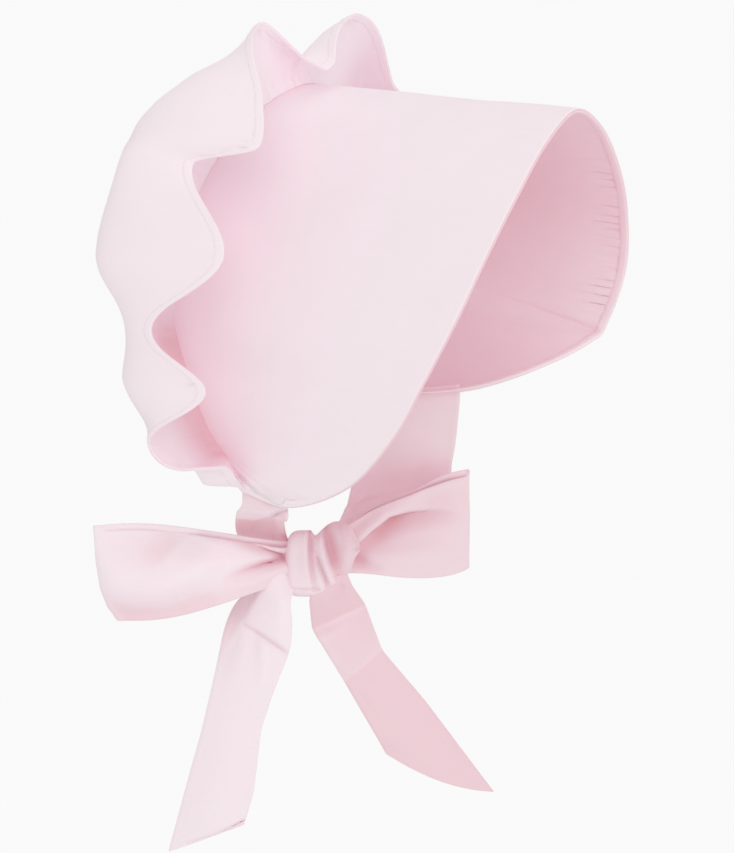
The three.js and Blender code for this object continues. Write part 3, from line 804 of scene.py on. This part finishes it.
def make_ruffle():
    folds = len(RUFFLE_FOLDS) - 1
    marks = np.linspace(0, folds, folds * RUFFLE_STEPS + 1)
    at = np.interp(marks, np.arange(folds + 1), [row.at for row in RUFFLE_FOLDS])
    trial_at, trial_wide = np.meshgrid(at, np.linspace(0, 1, RUFFLE_TRIAL), indexing="ij")
    steps = np.linalg.norm(np.diff(ruffle_point(trial_at, trial_wide), axis=1), axis=-1)
    trial_run = np.concatenate([np.zeros((len(at), 1)), np.cumsum(steps, axis=1)], axis=1)
    distance = edge_first(RUFFLE_HEM, trial_run[:, -1], RUFFLE_ROWS)[:, ::-1]
    run = trial_run[:, -1:] - distance
    wide = np.array([np.interp(run[k], trial_run[k], trial_wide[k]) for k in range(len(at))])
    at = np.broadcast_to(at[:, None], wide.shape)
    mid = ruffle_point(at, wide)
    normal = grid_normals(mid)
    hem_line = np.linalg.norm(np.diff(mid[:, -1], axis=0), axis=-1)
    along = np.concatenate([[0], np.cumsum(hem_line)])[:, None]
    root_line = np.linalg.norm(np.diff(mid[:, 0], axis=0), axis=-1)
    root_along = np.concatenate([[0], np.cumsum(root_line)])[:, None]

    crest = sum(bell(at, place, 0.022) for place in CRESTS)
    strength = 0.12 + 0.7 * crest
    beyond = smooth(distance, RUFFLE_HEM - 0.6, RUFFLE_HEM + 1.0)
    lift = strength * wander(along, 2.4, 41) * np.exp(-np.maximum(distance - RUFFLE_HEM, 0) / 6) * beyond
    lift = lift + 0.2 * strength * wander(along, 1.7, 43) * (1 - beyond)
    pleat = np.sin(along * 3.2 + 1.5 * wander(along, 3, 49)) * bell(distance, RUFFLE_HEM + 1.5, 2)
    lift = lift + 0.4 * crest * pleat
    gather = np.sin(root_along * 1.15 + 1.5 * wander(root_along, 9, 45)) * np.exp(-run / 7)
    gather = gather * smooth(run, 0, 2)
    lift = lift + 0.5 * gather
    lift = lift + 0.5 * drift(along * 0.7, distance, 24, 47) * smooth(run, 3, 12) * smooth(distance, 2, 10)
    mid = mid + normal * lift[..., None]
    thick = hem_thickness(distance, RUFFLE_HEM, RUFFLE_CLOTH, 0.55)
    # Painted shade on the ruffle's inner face near its root, in the lower valleys where the folds above shade
    # it, fading at the lower end.
    painted_shade_in = RUFFLE_INSIDE_SHADE * (1 - smooth(run, 3, 26)) * smooth(-at, 0.5, 0.6)
    painted_shade_in = painted_shade_in * (1 - 0.8 * smooth(-at, 0.87, 0.93))
    # Its rim is painted a little darker, as painted shade along the edge.
    piece = cloth_object("ruffle_cloth", mid, thick, (painted_shade_in, 0, RUFFLE_RIM_SHADE), cloth)
    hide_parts("ruffle")

    lines = []
    inner = -1 - STITCH_MARK
    for sign in (1, -1):
        skin = mid + sign * normal * (thick / 2)[..., None]
        lines.append((skin[3:-3, inner], sign * normal[3:-3, inner]))
    stitches = stitch_object("ruffle_stitches", lines, thread)
    stitches.parent = piece


# Ties. Edges and creases are given where the picture shows them, in its pixels, and out in millimetres.
def seen(x, y, out):
    """Place in the bow's frame that the picture shows at a pixel, so far out from the knot's middle."""
    tilt = math.radians(VIEW_ELEVATION)
    across = (x - KNOT_PIXEL[0]) * MM_PER_PIXEL
    up = ((KNOT_PIXEL[1] - y) * MM_PER_PIXEL + out * math.sin(tilt)) / math.cos(tilt)
    return np.array([across, out, up])


def pixel_of(place):
    """Where the picture shows places in the bow's frame."""
    tilt = math.radians(VIEW_ELEVATION)
    x = KNOT_PIXEL[0] + place[..., 0] / MM_PER_PIXEL
    y = KNOT_PIXEL[1] - (place[..., 2] * math.cos(tilt) - place[..., 1] * math.sin(tilt)) / MM_PER_PIXEL
    return x, y


def crease_height(x, y, crease):
    """Height of a crease at pixels: its own height on the line, dying away over its two widths."""
    total = np.zeros(x.shape)
    weights = np.zeros(x.shape)
    for (ax, ay, a_height), (bx, by, b_height) in zip(crease.line[:-1], crease.line[1:]):
        way_x = bx - ax
        way_y = by - ay
        length = math.hypot(way_x, way_y)
        t = np.clip(((x - ax) * way_x + (y - ay) * way_y) / length**2, 0, 1)
        gap = np.hypot(x - ax - t * way_x, y - ay - t * way_y) + 1e-6
        right_of = (way_x * (y - ay) - way_y * (x - ax)) / length
        width = lerp(crease.before, crease.after, smooth(right_of / gap, -1, 1))
        weight = (gap + 0.5) ** -6
        total += weight * lerp(a_height, b_height, t) * np.exp(-((gap / width) ** 2))
        weights += weight
    return total / weights


def creased(place, creases, share):
    """Places with creases pressed into them, by a share from 0 to 1, and how deep each place lies in them."""
    x, y = pixel_of(place)
    height = share * sum(crease_height(x, y, crease) for crease in creases)
    place = place.copy()
    place[..., 1] += height
    return place, np.clip(-height / CREASE_FULL, 0, 1)


def tie_thickness(inside):
    """Doubled cloth with a soft turned edge, at distances inside its edge."""
    nose = np.sqrt(np.clip(1 - (1 - np.clip(inside / 0.35, 0, 1)) ** 2, 0.3, 1))
    return TIE_CLOTH * (1 + 0.35 * bell(inside, 1.4, 1.2)) * nose


def across_shares(count):
    """Places across a tie, from -1 to 1, closer together at its edges."""
    turn = np.linspace(-1, 1, count)
    return np.sign(turn) * (1 - (1 - np.abs(turn)) ** 1.4)


def rounded(line, soft):
    """Points along a line with its corners rounded over that many points. The ends stay where they are."""
    weight = np.hanning(2 * soft + 3)[1:-1]
    weight = weight / weight.sum()
    before = 2 * line[:1] - line[soft:0:-1]
    after = 2 * line[-1:] - line[-2 : -soft - 2 : -1]
    long = np.vstack([before, line, after])
    return np.stack([np.convolve(long[:, k], weight, "valid") for k in range(line.shape[1])], axis=-1)


def rail_grid(rails, rows, soft):
    """Cloth between two edges, from table rows."""
    left = np.array([seen(*rail.left, rail.left_out) for rail in rails])
    right = np.array([seen(*rail.right, rail.right_out) for rail in rails])
    extra = np.array([(rail.curl, rail.sag) for rail in rails], float)
    table = np.hstack([left, right, extra])
    steps = np.linalg.norm(np.diff((left + right) / 2, axis=0), axis=-1)
    marks = np.concatenate([[0], np.cumsum(steps)]) / steps.sum()
    share = np.linspace(0, 1, rows)
    table = np.stack([np.interp(share, marks, table[:, k]) for k in range(8)], axis=-1)
    table = rounded(table, soft)[:, None]
    share, span = np.meshgrid(share, across_shares(TIE_COLUMNS), indexing="ij")
    place = lerp(table[..., 0:3], table[..., 3:6], ((span + 1) / 2)[..., None])
    bow = 1 - span * span
    place[..., 1] += table[..., 6] * bow
    place[..., 2] -= table[..., 7] * bow
    return share, span, place


def tie_object(name, place, span, painted_shade, node):
    """A tie of cloth about a grid of places in the bow's frame, with painted shade deeper in its creases."""
    run = np.linalg.norm(np.diff(place, axis=1), axis=-1).sum(axis=1)[:, None]
    thick = tie_thickness((1 - np.abs(span)) * run / 2)
    mid = bow_point(place[..., 0], place[..., 1], place[..., 2])
    piece = cloth_object(name, mid, thick, (painted_shade, painted_shade, painted_shade), tie_cloth)
    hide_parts(node)
    return piece


def beside(x, y, start, stop):
    """Pixels from the line through two pixels, positive on the right of someone walking along it."""
    way_x = stop[0] - start[0]
    way_y = stop[1] - start[1]
    return (way_x * (y - start[1]) - way_y * (x - start[0])) / math.hypot(way_x, way_y)


def make_tail_right():
    share, span, place = rail_grid(TAIL_RIGHT, TAIL_ROWS, 7)
    x, y = pixel_of(place)
    below = -beside(x, y, *FLAP_FOOT)
    left = beside(x, y, *FLAP_SIDE)
    flap = smooth(left, -2.5, 2) * smooth(below, -3, 3) * smooth(-x, -290, -278)
    place[..., 1] += FLAP_STEP * flap
    place, depth = creased(place, TAIL_RIGHT_CREASES, 1)
    place[..., 1] += 0.5 * drift(span * 14, share * 125, 22, 61) * smooth(share, 0.2, 0.4)
    # Painted shadow from the loop, on the strip left of the flap, high up.
    loop_shadow = (1 - smooth(left, -4, 1)) * (1 - smooth(y, 610, 680))
    # Painted shadow along the crease at the flap's foot.
    foot = bell(below, -1.5, 2.5) * smooth(left, 0, 4) * smooth(-x, -290, -278)
    # Painted shade in the creases too.
    painted_shade = lerp(TAIL_RIGHT_SHADE + 0.5 * loop_shadow + 0.5 * foot, CREASE_SHADE, depth)
    piece = tie_object("tail_right_cloth", place, span, painted_shade, "tie_tail_right")


def make_tail_left():
    share, span, place = rail_grid(TAIL_LEFT, TAIL_ROWS, 3)
    place, depth = creased(place, TAIL_LEFT_CREASES, 1)
    place[..., 1] += 0.5 * drift(span * 14, share * 110, 20, 63) * smooth(share, 0.3, 0.5)
    x, y = pixel_of(place)
    # Painted light and shade: the tail is painted deep as it faces from the light, the band between its two
    # folds lighter as if lit, and its creases darker.
    band = smooth(beside(x, y, *TAIL_FOLD_HIGH), -2, 2) * (1 - smooth(beside(x, y, *TAIL_FOLD_LOW), -2, 2))
    painted_shade = TAIL_LEFT_SHADE - 0.45 * band + 0.3 * depth
    piece = tie_object("tail_left_cloth", place, span, painted_shade, "tie_tail_left")


def strap_grid(strap):
    """Cloth from the brim's edge, where it is sewn, through table rows to the knot."""
    share = np.linspace(0, 1, STRAP_ROWS)
    span = across_shares(TIE_COLUMNS)
    place = np.zeros((len(share), len(span), 3))
    for j, s in enumerate(span):
        t = (s + 1) / 2
        edge = np.array(lerp(strap.start, strap.stop, t))
        seat = bow_place(brim_point(edge, np.zeros_like(edge)))
        line = [seat + np.array([0, -SEAT_BEHIND, rise]) for rise in (SEAT_ABOVE, -strap.lead)]
        line += [lerp(seen(*r.left, r.left_out), seen(*r.right, r.right_out), t) for r in strap.rails]
        line = np.array(line)
        steps = np.sqrt(np.linalg.norm(np.diff(line, axis=0), axis=-1))
        marks = np.concatenate([[0], np.cumsum(steps)]) / steps.sum()
        place[:, j] = spline(line, np.interp(share, marks, np.linspace(0, 1, len(line))))
    share, span = np.meshgrid(share, span, indexing="ij")
    return share, span, place


def make_strap_right():
    _, span, place = strap_grid(STRAP_RIGHT)
    place, depth = creased(place, STRAP_RIGHT_CREASES, 1)
    # Painted shade: deeper below the roll, where the brim overhangs it, and in the creases.
    painted_shade = lerp(*STRAP_RIGHT_SHADES, smooth(pixel_of(place)[1], 514, 526)) + 0.5 * depth
    piece = tie_object("strap_right_cloth", place, span, painted_shade, "tie_strap_right")


def make_strap_left():
    share, span, place = strap_grid(STRAP_LEFT)
    place, depth = creased(place, STRAP_LEFT_CREASES, 1)
    place[..., 1] += 0.6 * drift(span * 20, share * 70, 22, 73)
    # Painted shade, deeper in the creases.
    painted_shade = lerp(*STRAP_LEFT_SHADES, depth)
    piece = tie_object("strap_left_cloth", place, span, painted_shade, "tie_strap_left")


def loop_grid(loop):
    share = np.linspace(0, 1, LOOP_ROWS)
    share, span = np.meshgrid(share, across_shares(TIE_COLUMNS), indexing="ij")
    turn = 2 * np.pi * lerp(0.035, 0.965, share)
    far = (1 - np.cos(turn)) / 2
    puff = loop.puff * np.sin(turn) * np.sqrt(far)
    height = lerp(loop.neck, loop.wide, smooth(far, 0, 0.9)) / 2
    front = smooth(0.5 - share, 0.0, 0.06)
    return span, far, puff, height, front


def place_loop(loop, far, span, puff, height, reach_more):
    heading = math.radians(loop.heading)
    reach = (loop.reach + reach_more) * far
    across = loop.side * (reach * math.cos(heading) - puff * math.sin(heading))
    out = reach * math.sin(heading) + puff * math.cos(heading)
    return np.stack([across, out, loop.rise * far + span * height], axis=-1)


def make_loop_right():
    span, far, puff, height, front = loop_grid(LOOP_RIGHT)
    pinch = lerp(0.5, 0.9, smooth(far, 0.3, 0.6))
    puff = puff * (1 - pinch * smooth(span, 0.1, 0.95))
    end = np.interp(span, [-1, -0.7, -0.3, 0, 0.25, 1], [-5, -0.2, 3.1, 4, 4.9, 6])
    place = place_loop(LOOP_RIGHT, far, span, puff, height, end)
    lowered = front * smooth(span, -0.2, 1) * smooth(far, 0.05, 0.2) * (1 - smooth(far, 0.93, 1))
    place[..., 2] -= 2.6 * lowered
    place, depth = creased(place, LOOP_RIGHT_CREASES, front)
    place[..., 1] += 0.6 * drift(span * 21, far * 95, 20, 81) * smooth(far, 0.1, 0.3) * (1 - span**4)
    # Painted shade: deeper near the knot and towards the lower edge, and in the creases.
    shade_near_knot = 0.25 * (1 - smooth(far, 0.1, 0.4))
    painted_shade = lerp(LOOP_RIGHT_SHADE + 0.45 * smooth(-span, 0.1, 0.9) + shade_near_knot, CREASE_SHADE, depth)
    piece = tie_object("loop_right_cloth", place, span, painted_shade, "bow_loop_right")


def make_loop_left():
    span, far, puff, height, front = loop_grid(LOOP_LEFT)
    puff = puff * (1 - 0.8 * smooth(span, 0.1, 0.95))
    place = place_loop(LOOP_LEFT, far, span, puff, height, 0.4 * span)
    upper = smooth(span, 0, 1)
    place[..., 2] += 4.5 * upper * bell(far, 0.33, 0.28)
    place[..., 2] += 2.6 * (1 - front) * smooth(span, 0.3, 1) * smooth(far, 0.6, 0.9)
    place[..., 2] += 1.6 * smooth(-span, 0.2, 1) * smooth(far, 0.4, 0.9)
    place, depth = creased(place, LOOP_LEFT_CREASES, front)
    place[..., 1] += 0.5 * drift(span * 21, far * 78, 18, 83) * smooth(far, 0.1, 0.3) * (1 - span**4)
    # Painted shade over this loop, which faces away from the light, and deeper in the creases.
    painted_shade = lerp(LOOP_LEFT_SHADE, CREASE_SHADE, depth)
    piece = tie_object("loop_left_cloth", place, span, painted_shade, "bow_loop_left")


def make_knot():
    """Wrapped cloth: a flat band on the left, pleats in the middle, a tucked fold on the right."""
    rows, columns = KNOT_GRID
    side = -np.cos(np.linspace(0.03, np.pi - 0.03, rows))
    turn = np.linspace(0, 2 * np.pi, columns, endpoint=False)
    side, turn = np.meshgrid(side, turn, indexing="ij")
    places = [row.x for row in KNOT_OUTLINE]
    x = lerp(places[0], places[-1], (side + 1) / 2)
    top = column(places, [row.top for row in KNOT_OUTLINE], x)
    foot = column(places, [row.foot for row in KNOT_OUTLINE], x)
    power = np.where(side < 0, KNOT_SQUARE_LEFT, KNOT_SQUARE_RIGHT)
    close = np.sqrt(np.clip(1 - np.abs(side) ** power, 0, 1))
    square = lerp(0.55, 0.85, smooth(side, -0.4, 0.2))
    out = KNOT_DEPTH * close * np.sign(np.cos(turn)) * np.abs(np.cos(turn)) ** square
    rise = np.sign(np.sin(turn)) * np.abs(np.sin(turn)) ** square
    middle = (top + foot) / 2
    half = (foot - top) / 2 * close
    tuck = np.sin(3 * turn + 7 * side) + 0.6 * np.sin(5 * turn + 2)
    x = x - KNOT_TUCK * (1 + tuck) * smooth(side, 0.7, 0.93) * smooth(close, 0, 0.25)
    place = np.moveaxis(seen(x, middle - half * rise, out), 0, -1)
    place, sunk = creased(place, KNOT_CREASES, smooth(np.cos(turn), 0.1, 0.5))
    points = bow_point(place[..., 0], place[..., 1], place[..., 2]).reshape(-1, 3)
    faces = []
    for i in range(rows - 1):
        for j in range(columns):
            n = (j + 1) % columns
            faces.append((i * columns + j, i * columns + n, (i + 1) * columns + n, (i + 1) * columns + j))
    faces.append(tuple(range(columns - 1, -1, -1)))
    faces.append(tuple((rows - 1) * columns + j for j in range(columns)))
    uv = np.stack([place[..., 0].ravel(), (turn * 13).ravel()], axis=-1)
    # Painted shade over the knot, deeper on the fold at its right and in its creases.
    painted_shade = lerp(KNOT_SHADE + KNOT_FOLD_SHADE * smooth(x, 328, 346), KNOT_CREASE_SHADE, sunk).ravel()
    piece = mesh_object("knot_cloth", points, faces, uv, painted_shade, tie_cloth)
    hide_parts("bow_knot")


make_brim()
make_crown()
make_ruffle()
make_loop_right()
make_loop_left()
make_tail_right()
make_tail_left()
make_strap_right()
make_strap_left()
make_knot()


# Stage
def make_floor():
    """A wide pale floor well below the hanging tails, brighter towards the horizon."""
    mesh = bpy.data.meshes.new("floor")
    corners = [(-1, -1), (1, -1), (1, 1), (-1, 1)]
    points = [(x * FLOOR_HALF, y * FLOOR_HALF, FLOOR_LEVEL) for x, y in corners]
    mesh.from_pydata(points, [], [(0, 1, 2, 3)])
    material = bpy.data.materials.new("pale floor")
    material.use_nodes = True
    tree = material.node_tree
    shader = tree.nodes["Principled BSDF"]
    shader.inputs["Base Color"].default_value = (FLOOR_GREY, FLOOR_GREY, FLOOR_GREY, 1)
    shader.inputs["Roughness"].default_value = 1
    shader.inputs["Specular IOR Level"].default_value = 0
    shader.inputs["Emission Color"].default_value = (1, 1, 1, 1)
    coords = tree.nodes.new("ShaderNodeNewGeometry")
    length = tree.nodes.new("ShaderNodeVectorMath")
    length.operation = "LENGTH"
    link(tree, coords, "Position", length, "Vector")
    ramp = tree.nodes.new("ShaderNodeMapRange")
    ramp.interpolation_type = "SMOOTHSTEP"
    ramp.inputs["From Min"].default_value = 2
    ramp.inputs["From Max"].default_value = 4
    ramp.inputs["To Min"].default_value = FLOOR_GLOW_NEAR
    ramp.inputs["To Max"].default_value = FLOOR_GLOW
    link(tree, length, "Value", ramp, "Value")
    link(tree, ramp, "Result", shader, "Emission Strength")
    mesh.materials.append(material)
    floor = bpy.data.objects.new("floor", mesh)
    bpy.context.scene.collection.objects.link(floor)


def view_axes():
    azimuth = math.radians(VIEW_AZIMUTH)
    elevation = math.radians(VIEW_ELEVATION)
    back = Vector(
        (
            math.sin(azimuth) * math.cos(elevation),
            -math.cos(azimuth) * math.cos(elevation),
            math.sin(elevation),
        )
    )
    right = Vector((math.cos(azimuth), math.sin(azimuth), 0))
    return right, back.cross(right), back


def make_world():
    world = bpy.data.worlds.new("studio")
    bpy.context.scene.world = world
    world.use_nodes = True
    sky = world.node_tree.nodes["Background"]
    sky.inputs["Color"].default_value = (1, 1, 1, 1)
    sky.inputs["Strength"].default_value = WORLD_LEVEL


def make_light(name, place, energy, size):
    right, up, back = view_axes()
    light = bpy.data.lights.new(name, "AREA")
    light.energy = energy
    light.size = size
    lamp = bpy.data.objects.new(name, light)
    target = Vector(LAMP_TARGET)
    spot = target + right * place[0] + up * place[1] + back * place[2]
    lamp.location = spot
    lamp.rotation_mode = "QUATERNION"
    lamp.rotation_quaternion = (target - spot).to_track_quat("-Z", "Y")
    bpy.context.scene.collection.objects.link(lamp)


def make_camera():
    right, up, back = view_axes()
    camera = bpy.data.cameras.new("camera")
    camera.sensor_width = SENSOR
    camera.lens = SENSOR * CAMERA_DISTANCE / (PICTURE[1] * MM_PER_PIXEL)
    camera.clip_end = FAR_CLIP
    eye = bpy.data.objects.new("camera", camera)
    target = right * (PICTURE[0] / 2 - ORIGIN_PIXEL[0]) + up * (ORIGIN_PIXEL[1] - PICTURE[1] / 2)
    eye.location = (target * MM_PER_PIXEL + back * CAMERA_DISTANCE) * MM
    eye.rotation_mode = "QUATERNION"
    eye.rotation_quaternion = (-back).to_track_quat("-Z", "Y")
    bpy.context.scene.collection.objects.link(eye)
    bpy.context.scene.camera = eye


make_floor()
make_world()
for light in LAMPS:
    make_light(*light)
make_camera()
bpy.context.scene.view_settings.view_transform = "Standard"
bpy.context.scene.cycles.max_bounces = 16
bpy.context.scene.cycles.diffuse_bounces = 12
